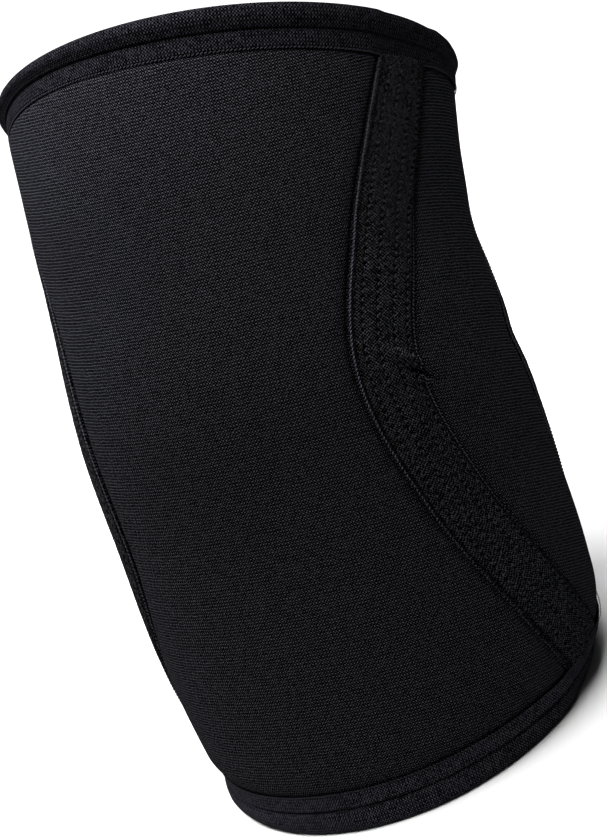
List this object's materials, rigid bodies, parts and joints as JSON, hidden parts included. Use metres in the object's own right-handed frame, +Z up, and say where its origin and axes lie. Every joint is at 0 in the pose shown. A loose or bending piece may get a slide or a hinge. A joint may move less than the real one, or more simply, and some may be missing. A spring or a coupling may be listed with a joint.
{
  "type": "elbow sleeve",
  "caption": "Pre-bent black neoprene elbow sleeve: a tube of sewn panels with taped seams and bound rims, worn over the elbow for warmth and support.",
  "frame": {"origin": "on the surface that the sleeve stands on, under the middle of its box", "axes": "+X across the arm, out of the middle plane; +Y from the point of the elbow to the crook; +Z up, from the forearm rim to the upper-arm rim"},
  "size_m": [0.119, 0.1578, 0.1948],
  "materials": {
    "neoprene_knit": "matt black jersey bonded to neoprene foam",
    "seam_tape": "matt black stretch tape with rows of stitches",
    "binding_cloth": "smooth black stretch cloth, folded and stitched"
  },
  "bodies": {
    "root": {"elbow_panel": "neoprene_knit", "side_panel_right": "neoprene_knit", "side_panel_left": "neoprene_knit", "crook_panel": "neoprene_knit", "elbow_tape_right": "seam_tape", "elbow_tape_left": "seam_tape", "crook_tape_right": "seam_tape", "crook_tape_left": "seam_tape", "upper_binding": "binding_cloth", "lower_binding": "binding_cloth"}
  },
  "joints": []
}
